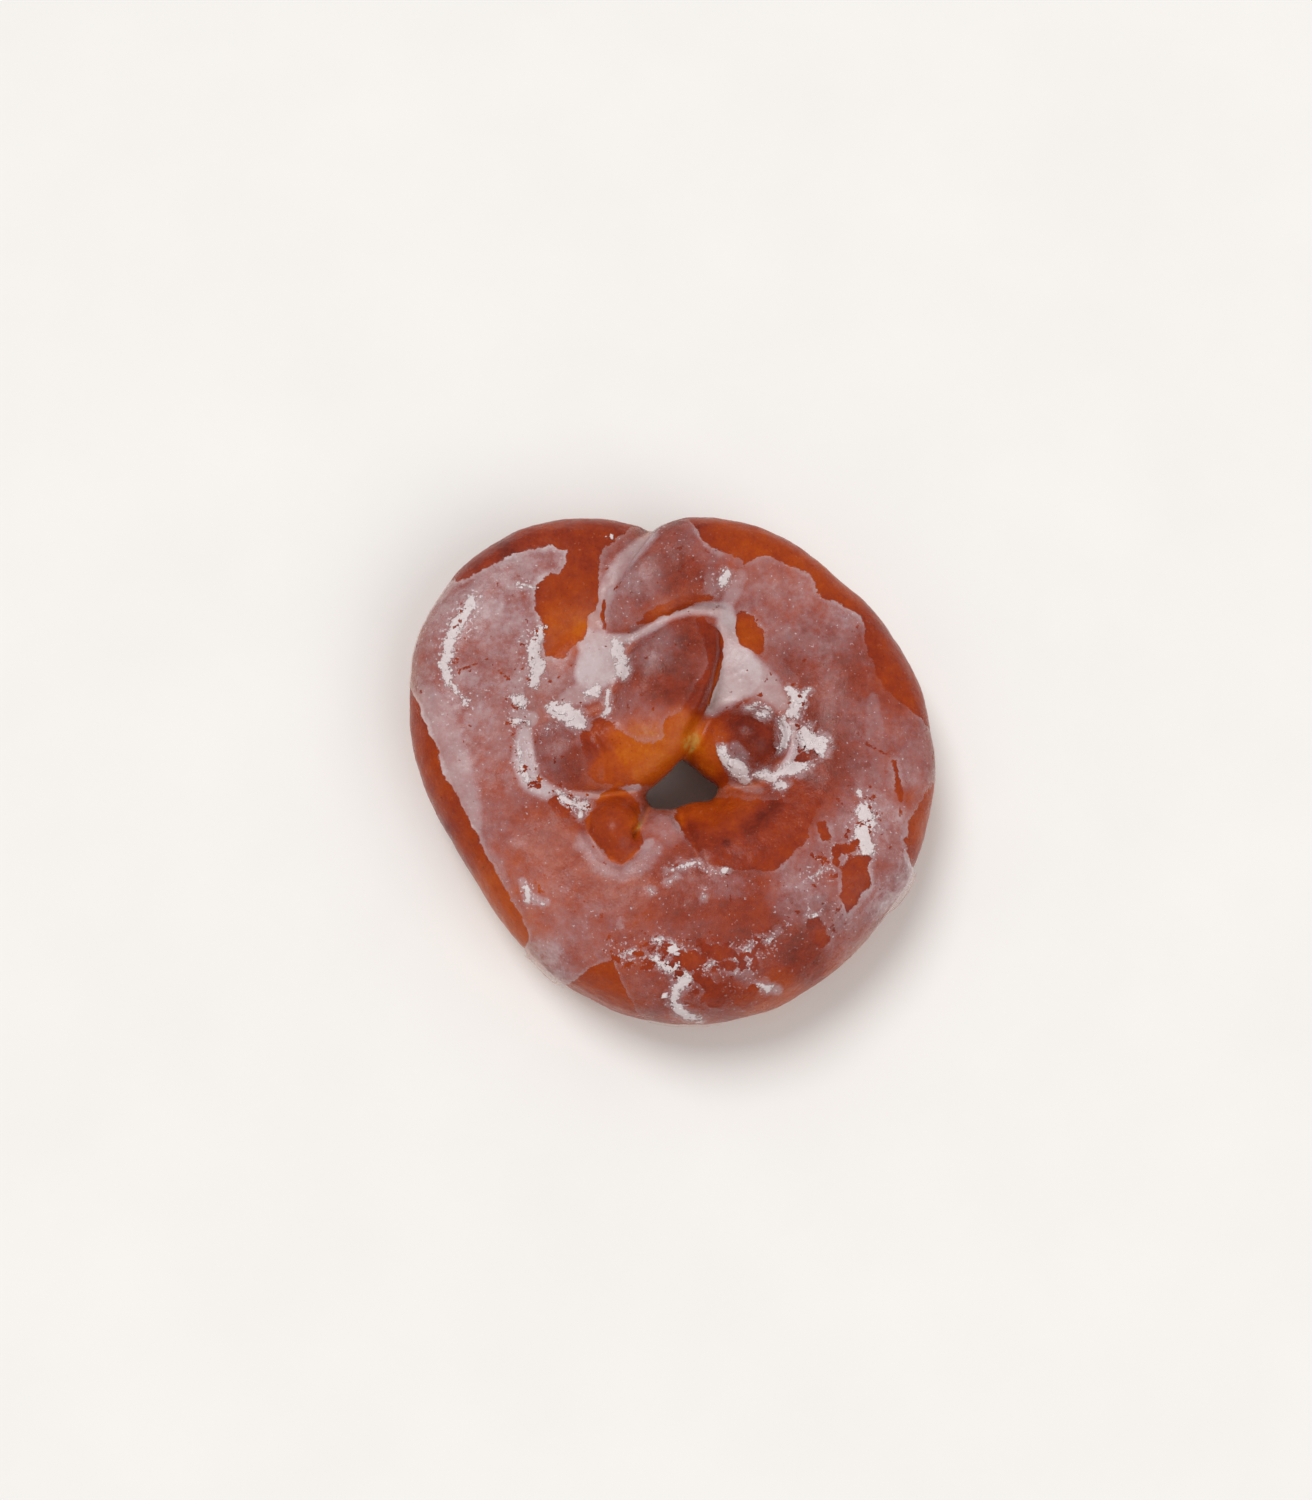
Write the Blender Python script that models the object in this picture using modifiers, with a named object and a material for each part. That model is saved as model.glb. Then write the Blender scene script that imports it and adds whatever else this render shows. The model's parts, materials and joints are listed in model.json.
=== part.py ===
"""A brioche pretzel: one rope of sweet dough, its arms crossed twice over a thick belly, baked flat.

Metres, +Z up. The origin is the middle of the underside. +Y points away from the belly.
"""

import math

import bmesh
import bpy
from mathutils import Matrix, Vector

# Each station of a rope is where its middle runs (x, y, z) and half the rope's width there.
# The ring: from the left arm where it dives under the right one, round by the left limb, the belly and the
# right limb, to the tip of the right arm, which ends under the middle strand.
RING_STATIONS = (
    (0.004, 0.053, 0.012, 0.0120),
    (-0.010, 0.060, 0.014, 0.0160),
    (-0.0275, 0.0595, 0.016, 0.0195),
    (-0.0440, 0.0500, 0.017, 0.0215),
    (-0.0545, 0.035, 0.017, 0.0220),
    (-0.0565, 0.017, 0.016, 0.0215),
    (-0.0525, -0.001, 0.016, 0.0205),
    (-0.0410, -0.018, 0.016, 0.0220),
    (-0.0255, -0.033, 0.017, 0.0260),
    (-0.009, -0.042, 0.018, 0.0295),
    (0.010, -0.0430, 0.018, 0.0310),
    (0.028, -0.0360, 0.018, 0.0300),
    (0.0425, -0.0235, 0.017, 0.0285),
    (0.0525, -0.005, 0.017, 0.0255),
    (0.0545, 0.014, 0.016, 0.0235),
    (0.0490, 0.0315, 0.016, 0.0215),
    (0.0350, 0.0470, 0.018, 0.0200),
    (0.0190, 0.0580, 0.020, 0.0190),
    (0.003, 0.0595, 0.024, 0.0160),
    (-0.008, 0.0515, 0.026, 0.0125),
    (-0.0135, 0.042, 0.023, 0.0090),
    (-0.013, 0.032, 0.018, 0.0080),
)
# The middle strand: the left arm where it comes out from under the right one, crosses it and ends in the
# left knob.
MIDDLE_STATIONS = (
    (0.008, 0.048, 0.017, 0.0080),
    (0.0045, 0.0385, 0.026, 0.0105),
    (-0.0005, 0.0285, 0.029, 0.0130),
    (-0.004, 0.018, 0.0285, 0.0135),
    (-0.009, 0.0080, 0.026, 0.0120),
    (-0.0165, 0.0030, 0.024, 0.0125),
    (-0.024, 0.0035, 0.024, 0.0125),
    (-0.031, 0.0045, 0.023, 0.0115),
)
# The right arm's end, where it comes out from under the middle strand and climbs the ring to the right knob.
RIGHT_END_STATIONS = (
    (-0.006, 0.024, 0.016, 0.0090),
    (0.005, 0.014, 0.018, 0.0085),
    (0.0125, 0.0085, 0.021, 0.0095),
    (0.020, 0.0075, 0.024, 0.0115),
)
# Rounded lumps of dough: (x, y, z) of the middle, and the half sizes along X, Y and Z.
LUMPS = {
    "left_knob": ((-0.0300, 0.0040, 0.0205), (0.0150, 0.0130, 0.0155)),
    "left_neck": ((-0.0190, 0.0080, 0.0190), (0.0120, 0.0110, 0.0165)),
    "right_shoulder": ((0.0195, 0.0075, 0.022), (0.0145, 0.0125, 0.0150)),
    "right_knob": ((0.0225, 0.0080, 0.0250), (0.0115, 0.0110, 0.0150)),
    "belly_curl": ((-0.0165, -0.0205, 0.027), (0.0095, 0.0115, 0.0130)),
    "curl_root": ((-0.0135, -0.0125, 0.018), (0.0075, 0.0070, 0.0140)),
    "belly_ridge": ((-0.003, -0.0215, 0.023), (0.0100, 0.0100, 0.0140)),
    "belly_lip": ((0.009, -0.0165, 0.020), (0.0120, 0.0070, 0.0120)),
    "right_root": ((0.020, -0.0110, 0.018), (0.0080, 0.0075, 0.0130)),
    "left_filling": ((-0.027, 0.027, 0.012), (0.0290, 0.0290, 0.0190)),
    "right_filling": ((0.026, 0.030, 0.012), (0.0290, 0.0280, 0.0180)),
    "knot_filling": ((0.000, 0.038, 0.010), (0.0260, 0.0210, 0.0200)),
    "left_underside": ((-0.0310, -0.0010, 0.010), (0.0210, 0.0160, 0.0140)),
    "right_underside": ((0.0340, 0.0010, 0.010), (0.0185, 0.0160, 0.0140)),
}

# The rope's section is an oval a little squarer than an ellipse, and this much as high as it is wide.
SECTION_POINTS = 24
SECTION_SQUARENESS = 2.5
SECTION_HEIGHT = 0.80
SPLINE_STEPS = 8
LUMP_SEGMENTS = 32
LUMP_RINGS = 16
WELD_DISTANCE = 0.00001
# The dough's skin: the ropes grown together, then slackened as dough is by proving and baking.
SKIN_VOXEL = 0.0012
SKIN_SMOOTHING = 9
SLACK_FACTOR = 0.5
# Unevenness of the hand-rolled rope.
UNEVEN_HEIGHT = 0.0022
UNEVEN_SPREAD = 0.024
# Share of the skin's triangles that the finished solid keeps.
KEPT_TRIANGLES = 0.09

CRUST_COLOUR = (0.36, 0.10, 0.035, 1.0)
CRUST_ROUGHNESS = 0.42


def clear_scene():
    for obj in list(bpy.data.objects):
        bpy.data.objects.remove(obj, do_unlink=True)


def signed_power(value, exponent):
    return math.copysign(abs(value) ** exponent, value)


def rope_section():
    """The rope's cross section, one unit wide each way, as a closed flat curve."""
    curve = bpy.data.curves.new("rope_section", "CURVE")
    curve.dimensions = "2D"
    spline = curve.splines.new("POLY")
    spline.points.add(SECTION_POINTS - 1)
    spline.use_cyclic_u = True
    exponent = 2.0 / SECTION_SQUARENESS
    for number, point in enumerate(spline.points):
        angle = 2.0 * math.pi * number / SECTION_POINTS
        across = signed_power(math.cos(angle), exponent)
        upright = SECTION_HEIGHT * signed_power(math.sin(angle), exponent)
        point.co = (across, upright, 0.0, 1.0)
    section = bpy.data.objects.new("rope_section", curve)
    section.hide_render = True
    bpy.context.scene.collection.objects.link(section)
    return section


def add_rope(shape, name, stations, section):
    """Adds a rope of dough through its stations to the shape, as a closed mesh."""
    curve = bpy.data.curves.new(name, "CURVE")
    curve.dimensions = "3D"
    curve.resolution_u = SPLINE_STEPS
    curve.twist_mode = "Z_UP"
    curve.bevel_mode = "OBJECT"
    curve.bevel_object = section
    curve.use_fill_caps = True
    spline = curve.splines.new("BEZIER")
    spline.bezier_points.add(len(stations) - 1)
    for point, (x, y, z, half_width) in zip(spline.bezier_points, stations):
        point.co = (x, y, z)
        point.radius = half_width
        point.handle_left_type = "AUTO"
        point.handle_right_type = "AUTO"
    rope = bpy.data.objects.new(name, curve)
    bpy.context.scene.collection.objects.link(rope)
    bpy.context.view_layer.update()
    graph = bpy.context.evaluated_depsgraph_get()
    mesh = bpy.data.meshes.new_from_object(rope.evaluated_get(graph))
    bpy.data.objects.remove(rope)
    shape.from_mesh(mesh)
    bpy.data.meshes.remove(mesh)


def add_lump(shape, middle, half_sizes):
    made = bmesh.ops.create_uvsphere(
        shape, u_segments=LUMP_SEGMENTS, v_segments=LUMP_RINGS, radius=1.0
    )
    bmesh.ops.scale(shape, vec=Vector(half_sizes), verts=made["verts"])
    bmesh.ops.translate(shape, vec=Vector(middle), verts=made["verts"])


def dough_pieces():
    """All the ropes and lumps in one mesh, still crossing each other."""
    section = rope_section()
    shape = bmesh.new()
    add_rope(shape, "ring", RING_STATIONS, section)
    add_rope(shape, "middle_strand", MIDDLE_STATIONS, section)
    add_rope(shape, "right_end", RIGHT_END_STATIONS, section)
    for middle, half_sizes in LUMPS.values():
        add_lump(shape, middle, half_sizes)
    bmesh.ops.remove_doubles(shape, verts=shape.verts, dist=WELD_DISTANCE)
    bpy.data.objects.remove(section)
    mesh = bpy.data.meshes.new("dough_pieces")
    shape.to_mesh(mesh)
    shape.free()
    return mesh


def grown_together(mesh):
    """The pieces grown together under one skin."""
    obj = bpy.data.objects.new("dough", mesh)
    bpy.context.scene.collection.objects.link(obj)
    skin = obj.modifiers.new("Skin", "REMESH")
    skin.mode = "VOXEL"
    skin.voxel_size = SKIN_VOXEL
    slack = obj.modifiers.new("Slack", "SMOOTH")
    slack.factor = SLACK_FACTOR
    slack.iterations = SKIN_SMOOTHING
    lumps = bpy.data.textures.new("uneven_dough", "CLOUDS")
    lumps.noise_scale = UNEVEN_SPREAD
    lumps.noise_depth = 1
    uneven = obj.modifiers.new("Uneven", "DISPLACE")
    uneven.texture = lumps
    uneven.texture_coords = "LOCAL"
    uneven.strength = UNEVEN_HEIGHT
    uneven.mid_level = 0.5
    bpy.context.view_layer.update()
    graph = bpy.context.evaluated_depsgraph_get()
    grown = bpy.data.meshes.new_from_object(obj.evaluated_get(graph))
    bpy.data.objects.remove(obj)
    return grown


def flatten_base(mesh):
    """The dough lies flat on the tray: nothing reaches below its surface."""
    for vertex in mesh.vertices:
        vertex.co.z = max(vertex.co.z, 0.0)


def stand_on_middle(mesh):
    """The middle of the underside moves to the origin."""
    middle = []
    for axis in range(2):
        places = [vertex.co[axis] for vertex in mesh.vertices]
        middle.append((min(places) + max(places)) / 2.0)
    mesh.transform(Matrix.Translation((-middle[0], -middle[1], 0.0)))


def crust_material():
    material = bpy.data.materials.new("baked_crust")
    material.use_nodes = True
    shader = material.node_tree.nodes["Principled BSDF"]
    shader.inputs["Base Color"].default_value = CRUST_COLOUR
    shader.inputs["Roughness"].default_value = CRUST_ROUGHNESS
    shader.inputs["Metallic"].default_value = 0.0
    return material


def build_pretzel():
    mesh = grown_together(dough_pieces())
    flatten_base(mesh)
    stand_on_middle(mesh)
    mesh.name = "pretzel"
    mesh.materials.clear()
    mesh.materials.append(crust_material())
    pretzel = bpy.data.objects.new("pretzel", mesh)
    collection = bpy.data.collections.new("brioche_pretzel")
    bpy.context.scene.collection.children.link(collection)
    collection.objects.link(pretzel)
    fewer = pretzel.modifiers.new("Fewer", "DECIMATE")
    fewer.ratio = KEPT_TRIANGLES
    fewer.use_collapse_triangulate = True
    mesh.shade_smooth()


def main():
    clear_scene()
    build_pretzel()


main()
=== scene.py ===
"""Dresses the brioche pretzel: its baked crust, its sugar glaze, the dry flakes on it, and a plain stage."""

import json
import math
import random

import bpy
import numpy as np
from mathutils import Matrix, Vector

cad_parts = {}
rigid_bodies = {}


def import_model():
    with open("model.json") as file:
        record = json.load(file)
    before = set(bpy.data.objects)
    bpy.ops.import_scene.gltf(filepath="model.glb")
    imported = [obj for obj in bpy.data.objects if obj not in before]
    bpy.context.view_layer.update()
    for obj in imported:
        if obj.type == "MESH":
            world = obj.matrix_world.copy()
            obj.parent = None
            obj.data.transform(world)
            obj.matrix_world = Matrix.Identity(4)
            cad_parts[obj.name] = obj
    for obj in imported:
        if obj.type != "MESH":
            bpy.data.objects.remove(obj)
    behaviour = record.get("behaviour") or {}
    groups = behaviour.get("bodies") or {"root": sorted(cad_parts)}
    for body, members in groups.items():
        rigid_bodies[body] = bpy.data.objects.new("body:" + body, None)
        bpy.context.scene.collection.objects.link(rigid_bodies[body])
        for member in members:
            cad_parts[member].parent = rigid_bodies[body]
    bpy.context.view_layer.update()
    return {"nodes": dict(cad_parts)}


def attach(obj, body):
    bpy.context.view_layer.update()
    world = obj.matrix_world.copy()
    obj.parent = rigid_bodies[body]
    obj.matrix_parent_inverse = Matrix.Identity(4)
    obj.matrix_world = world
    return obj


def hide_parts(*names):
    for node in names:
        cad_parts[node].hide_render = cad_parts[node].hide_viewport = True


bl_info = {
    "name": "Brioche Pretzel",
    "version": (1, 0, 0),
    "blender": (4, 5, 0),
    "location": "3D View > Sidebar > Pretzel",
    "description": "Bakes and glazes a sweet-dough pretzel on its solid, and sets a plain stage for it",
    "category": "Add Mesh",
}

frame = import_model()
MM = 0.001

# The camera looks down on the pretzel from a little in front of the belly.
CAMERA_PLACE = Vector((-0.03231, -0.08925, 0.55101))
CAMERA_RIGHT = Vector((0.99868, 0.0, 0.05137))
CAMERA_UP = Vector((-0.00892, 0.98481, 0.17342))
CAMERA_BACK = Vector((-0.05059, -0.17365, 0.98351))
LENS_MM = 43.54
SENSOR_MM = 36.0

# Everything that is drawn on the dough is given in millimetres on one level sheet, as high as the dough's
# shoulders, and falls from there on the dough along the camera's line of sight.
SHEET_ORIGIN = Vector((-0.00038, -0.00209, 0.033))

# The glaze's outer edge, by direction: (degrees from +X, mm in from the outline, how milky the glaze banked
# up along it). Below nought mm it runs over the side. Between the directions given it changes evenly.
GLAZE_RIM = (
    (-180, 7.6, 0.56), (-171, 8, 0.5), (-163, 7.4, 0.46), (-149, 6.6, 0.42), (-142, 6.2, 0.38),
    (-134, 5, 0.36), (-130, 3.6, 0.4), (-128, 0.6, 0.42), (-126, -1, 0.42), (-123, -2.4, 0.42),
    (-120, -2, 0.38), (-118, -0.6, 0.34), (-116, 1.4, 0.24), (-113, 6, 0.16), (-110, 10, 0.12),
    (-107, 12.5, 0.12), (-103, 8, 0.12), (-100, 3.5, 0.12), (-98, 0.6, 0.14), (-95, -0.8, 0.16),
    (-90, -1.6, 0.2), (-85, -0.8, 0.2), (-80, -0.2, 0.12), (-70, -0.6, 0.08), (-60, 0.2, 0.06),
    (-52, -0.5, 0.06), (-44, 0, 0.08), (-40, -0.5, 0.16), (-37, -1.2, 0.26), (-34, -2.6, 0.32),
    (-31, -3.2, 0.34), (-28, -2.4, 0.34), (-26, -1.2, 0.32), (-24, 0.4, 0.26), (-22, 2.2, 0.2),
    (-18, 5.6, 0.16), (-13, 5.4, 0.12), (-9, 3.4, 0.12), (-6, 1.4, 0.14), (-3, 0.2, 0.14), (0, -0.6, 0.14),
    (3, 0.2, 0.14), (6, -0.5, 0.14), (9, 0.5, 0.14), (11, 1.8, 0.12), (13, 4.6, 0.08), (16, 8, 0.06),
    (20, 10, 0.08), (26, 10, 0.14), (32, 8.5, 0.2), (36, 5, 0.22), (39, 5, 0.22), (47, 6, 0.2),
    (51, 7, 0.18), (54, 5, 0.18), (60, 5.5, 0.14), (66, 7, 0.08), (71, 12.5, 0.05), (78, 10.5, 0.06),
    (82, 7.5, 0.08), (87, 0.5, 0.16), (94, -0.8, 0.24), (100, 0.6, 0.26), (106, 8, 0.1), (117, 10, 0.1),
    (119, 8, 0.16), (123, 6.5, 0.2), (129, 6, 0.22), (135, 4.4, 0.2), (140, 1, 0.22), (143, -0.4, 0.26),
    (148, -1.2, 0.3), (156, -0.4, 0.36), (161, -1, 0.4), (164, 0.2, 0.44), (167, 3.6, 0.54), (171, 5.4, 0.6),
    (180, 7.6, 0.56),
)

# Dough that the glaze left bare, and along two edges painted shade as well: runs of (x, y, half width) in mm.
BARE_PLACES = {
    "back_left_shoulder": ((-26.5, 76, 4.5), (-26.5, 66, 5.2), (-27.5, 58, 4.8), (-28.5, 50, 6.2)),
    "back_left_flank": ((-36, 51, 5), (-33, 46.5, 7.4), (-32, 41, 6), (-34.6, 35, 3.8)),
    "arm_sliver": ((-20.4, 49, 0.3), (-20.6, 44, 0.8), (-20.2, 40.5, 0.4)),
    # Along the arm's lower edge the dough is partly bare and partly a painted shaded band under the arm.
    "arm_edge_bare_and_shaded": ((-10.5, 42, 0.6), (-7, 44.2, 1.2), (-1, 47.6, 1.4), (5, 49.8, 1.3), (11, 50.4, 0.6)),
    "right_oval": ((19.8, 45, 1.4), (21.3, 41.4, 2.9), (23.4, 37.9, 3.1), (24.9, 34.4, 1.3)),
    # Along the middle strand's steep right edge the dough is partly bare and partly a painted shade under it.
    "strand_edge_bare_and_shaded": (
        (8, 42.2, 1.4), (11, 38.5, 2), (11.8, 32, 2.1), (11, 26, 2), (8, 19.5, 2.6), (4.5, 14, 3.4),
        (1, 11, 4)),
    "neck_top": ((-20.5, 9.4, 3.6), (-17, 4, 4.2), (-10.5, 1.2, 5), (-4.5, 1.6, 5.2), (0.5, 5, 4)),
    "neck_foot": ((-20, -1.5, 3.4), (-13, -2.5, 4), (-6, -3.6, 2.6)),
    "right_neck": ((6.5, 13, 2), (7.5, 6, 4), (9.5, 0, 4.2), (13.5, -4, 2.2)),
    "belly_curl": ((-16.4, -13.6, 6.4), (-17.2, -18, 7.2), (-15.2, -23, 5.6)),
    "belly_front": ((4.5, -16.5, 4.2), (12, -19, 8), (17, -21, 9.4), (26, -20.5, 9.6), (31, -18, 7.6)),
    "belly_back": ((3, -12, 2.4), (12, -12.5, 2.6), (22, -13, 2.4), (31, -12.6, 2.4)),
    "belly_right": ((33, -16, 5), (40, -11, 2.6)),
    "left_chip": ((-35, -11, 1.2), (-31.5, -14.5, 1.4)),
    "right_tear": ((55.4, -27, 1.6), (52.6, -29, 3.2), (52, -33, 3.6), (50.4, -38, 2.4), (50, -42.6, 0.5)),
    "right_tear_side": ((53, -21.8, 0.7), (52.2, -24.4, 0.9), (47.2, -24.8, 0.9), (46.7, -27.4, 0.9)),
    "right_dark_patch": ((43, -17.8, 1), (43.7, -20.4, 1.4)),
    "right_band": ((64.6, 1, 0.3), (65.4, -4, 0.9), (66, -10, 0.9), (65.4, -14.5, 0.3)),
    "front_right_chip": ((40.4, -46.6, 2.4), (42, -49.8, 2.4)),
    "front_chip_a": ((1.6, -55, 1.5), (4.4, -56.6, 1.9), (7.8, -56.2, 1.2)),
    "front_chip_b": ((8.8, -53.8, 1), (12.5, -54.8, 1.5), (16, -54.2, 0.8)),
    "front_chip_c": ((14.6, -57.6, 0.4), (18.4, -57.2, 0.5)),
    "front_chip_d": ((7, -61.6, 1), (10, -63.6, 2), (11.6, -67, 2.4), (9, -66, 1.4)),
    "front_chip_e": ((22.6, -64.2, 1.3), (19.4, -68.6, 1.6)),
    "front_chip_f": ((24.2, -52.2, 0.7), (22, -54.8, 0.9)),
    "front_chip_h": ((14, -57.8, 0.8), (16.4, -58.4, 0.7)),
    "front_chip_g": ((-3.4, -51.8, 0.6), (-2.8, -51.6, 0.4)),
    "knob_side": ((-25.5, 8, 1.4), (-23.6, 3, 1.8), (-22, -2.5, 2.2)),
    "knob_chip": ((36, 1.6, 0.9), (40.6, 2.9, 0.8)),
    "knob_dome": ((21, 11, 2.6), (27, 9.5, 2.4), (26.5, 4, 2)),
}

# How thickly the glaze veils the dough, 0 to 1: round places of (x, y, reach in mm, veil).
# Some denser veils are partly glaze and partly a painted sheen, paler where the light gleams on the film:
# on the left limb about (-57, 46), the right limb's top about (35, 51), the right limb about (56, 12), and
# partly a painted highlight along the ridge.
# the belly about (35, -38) and (-25, -50). The one on the belly's ridge at (-3, -19) is partly film and
VEIL_PLACES = (
    (-57, 46, 13, 0.46), (-50, 32, 9, 0.46), (-64, 12, 12, 0.5), (-50, 2, 10, 0.3), (-54, -22, 11, 0.3),
    (-67, -3, 6, 0.42), (-60, -20, 5, 0.6), (-40, 62, 7, 0.48), (-15, 67, 7, 0.24), (-1, 63, 7, 0.12),
    (8, 66, 4, 0.38), (12, 54.5, 3, 0.3), (-13, 52, 7, 0.36), (3, 54, 5, 0.03), (-7, 45, 4, 0.06),
    (-4, 33, 6, 0.28), (-3, 25, 6, 0.02), (4, 27, 4, 0.12), (-10, 15, 6, 0.22), (4, 37, 4, 0.05),
    (35, 51, 9, 0.34), (45, 38, 9, 0.4), (37, 35.5, 4, 0.16), (55, 30, 8, 0.04), (65, 20, 4, 0.04),
    (56, 12, 8, 0.28), (58, -2, 8, 0.32), (52.4, -10.6, 5, 0.48), (48, -16, 4, 0.4), (40, 24, 6, 0.1),
    (45, 7, 6, 0.0), (45, -8, 7, 0.0), (57, -14, 7, 0.46), (66, -9, 2.5, 0.02), (73, -3, 3, 0.36),
    (-38, -18, 9, 0.08), (-32, -27, 6, 0.04), (-36, -38, 8, 0.26), (-21, -34, 8, 0.13), (-8, -31, 8, 0.12),
    (2, -38, 8, 0.06), (16, -37, 8, 0.09), (35, -38, 6, 0.4), (20, -48, 9, 0.07), (4, -47, 7, 0.16),
    (2, -57, 7, 0.14), (-11, -46, 8, 0.18), (36, -56, 9, 0.02), (-25, -50, 8, 0.3), (-36, -48, 4, 0.26),
    (-36, -56, 5, 0.62), (-9, -65, 6, 0.18), (8, -71, 6, 0.14), (52, -46, 5, 0.36), (47, -54, 4, 0.4),
    (63, -35, 6, 0.66), (60.3, -29.5, 2.4, 0), (42, -62, 7, 0.02), (70, 8, 5, 0.26), (19, -57, 4, 0.46),
    (16, -65, 3, 0), (-35.5, 7, 5, 0.22), (-29, 1, 3, 0.05), (22, 9, 5, 0.01), (-34, 26, 4, 0.42),
    (10, 12, 4, 0.02), (46, -25, 5, 0.3), (-3, -19, 3.6, 0.34),
)

# Where the glaze ran together or lies milky: how opaque, how softly it fades in mm, and a run of
# (x, y, half width) in mm.
MILKY_PLACES = {
    # On the left limb the streak's head and the cloud below it are partly milky glaze and partly a painted
    # sheen.
    "left_streak_head_and_sheen": (0.54, 4.5, ((-60, 49.5, 1), (-56.5, 53.5, 1.6), (-49.5, 55.2, 1.4))),
    "left_streak_tail": (0.62, 2.2, ((-48, 53, 1.2), (-42, 52.4, 0.8))),
    "left_mid_cloud_and_sheen": (0.34, 4, ((-53, 44, 1.5), (-56.5, 38, 1.5), (-53, 33, 1))),
    "shoulder_haze": (0.28, 2.6, ((-43.7, 38.6, 1.6), (-45, 31.6, 1.6), (-44.5, 25.6, 1.2))),
    "left_side_haze": (0.64, 6, (
        (-71.5, 20.5, 1.4), (-68, 15, 2.6), (-64, 4, 2.6), (-60, -9, 1.8), (-58.6, -17.5, 1.8))),
    "left_arm_crease": (0.66, 3, (
        (-6.6, 69, 0.6), (-14.5, 61, 1.8), (-19, 54, 1.8), (-22.6, 45, 2.2), (-23.5, 37.5, 2.4))),
    "arm_front_crease": (0.84, 2, (
        (-20, 36.6, 1.4), (-13, 37.4, 1), (-7, 40.4, 0.8), (-2, 44, 0.8), (4, 46, 0.9), (10, 46.8, 1.4),
        (15, 46.2, 2.2))),
    "strand_crease": (0.92, 1.4, ((16.2, 43, 2.2), (16.6, 34, 2.8), (13.6, 24, 2.2), (10, 18.5, 1.4))),
    "left_pool": (0.95, 3, ((-29.4, 38.8, 0.3), (-25.6, 37.4, 2.2), (-23, 33, 3.8), (-23.6, 27, 4.6))),
    "left_pool_back": (0.92, 3, ((-22, 37, 1.8), (-19.4, 31.6, 3.6), (-19.6, 27.6, 3))),
    "left_pool_front": (0.72, 3.4, ((-25, 22, 2.6), (-31, 19, 1.6))),
    "right_pool": (0.9, 3.2, (
        (15.5, 45, 1.4), (15.4, 38, 2), (18, 31.5, 4.6), (19.5, 27, 6), (14.5, 21, 3), (11, 17, 1.2))),
    "right_pool_tail": (0.74, 4, ((22, 27.5, 3.6), (27, 24, 3), (31.5, 19, 1.4))),
    "right_pool_mist": (0.34, 3, ((30, 30.5, 2), (34, 25, 2))),
    "arm_end": (0.5, 2.6, ((15.5, 48, 1.4), (18, 52.5, 1.6), (20, 57, 1.2))),
    "oval_border": (0.34, 2, ((25.5, 43, 0.8), (28, 37, 1.2))),
    "knob_moat": (0.78, 1.4, ((34.9, 12, 1.2), (35.8, 6.6, 1.6), (34.2, 2, 1.4), (31.6, -0.6, 0.9))),
    "knob_dome_cloud": (0.42, 1.6, ((17.6, 5.4, 1.2), (20, 3, 1.4))),
    "knob_dome_smear": (0.5, 1, ((24.6, 11, 0.9), (23.6, 8.5, 0.7))),
    "knob_foot": (0.4, 1.6, ((17, -5, 0.8), (21, -7, 0.8), (25, -7.4, 0.6))),
    "left_knob_cloud": (0.66, 2.2, ((-46, 14.6, 1.6), (-42, 13, 1.8))),
    "left_knob_pool": (0.9, 3.4, ((-43.6, 9, 1), (-43.6, 1, 2.2), (-41.6, -5, 1.8), (-37, -8, 1))),
    "left_knob_foot": (0.66, 1.4, (
        (-39, -7, 1.4), (-31.6, -8.8, 0.8), (-25.8, -9.3, 0.9), (-17.1, -8.8, 0.8), (-10.8, -6.4, 0.8))),
    "left_knob_haze": (0.36, 3, ((-37, 9, 1.6), (-38, 4, 1.6))),
    "curl_halo": (0.46, 4.5, (
        (-25.5, -23, 1.2), (-20.6, -29.6, 1.3), (-14.7, -31.4, 1.2), (-9.8, -29, 1.2), (-6.5, -24.5, 1.4))),
    "curl_corner": (0.66, 1.4, ((-7.6, -23.4, 1.2), (-6.6, -22.6, 0.8))),
    "belly_front_haze": (0.22, 4, ((2, -34, 2), (12, -35.5, 2), (22, -35, 2))),
    "belly_right_haze": (0.24, 3.6, ((29, -31, 1.4), (36, -27.5, 1.8), (41, -26, 1.2))),
    "right_limb_haze": (0.26, 4, ((52, -6, 1.6), (58, 0, 2), (57, 8, 2))),
    "right_limb_streak": (0.4, 2, ((58.4, 20, 1.2), (58.6, 12, 2.8), (59.6, 4, 2.2), (59.6, -5, 1.6))),
    "right_side_film": (0.34, 2.4, ((72.4, 19, 0.8), (73.4, 8, 1.2), (72, -5, 1.6))),
    "right_back_haze": (0.26, 4, ((42, 44, 3), (50, 38, 3), (52, 42, 2))),
    "tear_border": (0.5, 1.4, ((45, -28, 0.6), (48, -34, 0.7), (48.4, -42, 0.9))),
    "front_left_rag": (0.62, 1.6, ((-43.4, -34, 0.8), (-41.6, -39, 1.4), (-36.5, -40.2, 0.9))),
    "front_left_haze": (0.3, 3, ((-20, -52, 1.2), (-14, -56, 1.6), (-9, -54, 1.2))),
    "front_streak_side": (0.5, 1.4, ((24, -63.8, 0.8), (29, -64.6, 1.2))),
    "front_ring": (0.34, 0.8, ((3.2, -67.6, 0.3), (6, -68.4, 0.3), (8.2, -66.2, 0.3), (7.2, -62.8, 0.3))),
}

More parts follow.
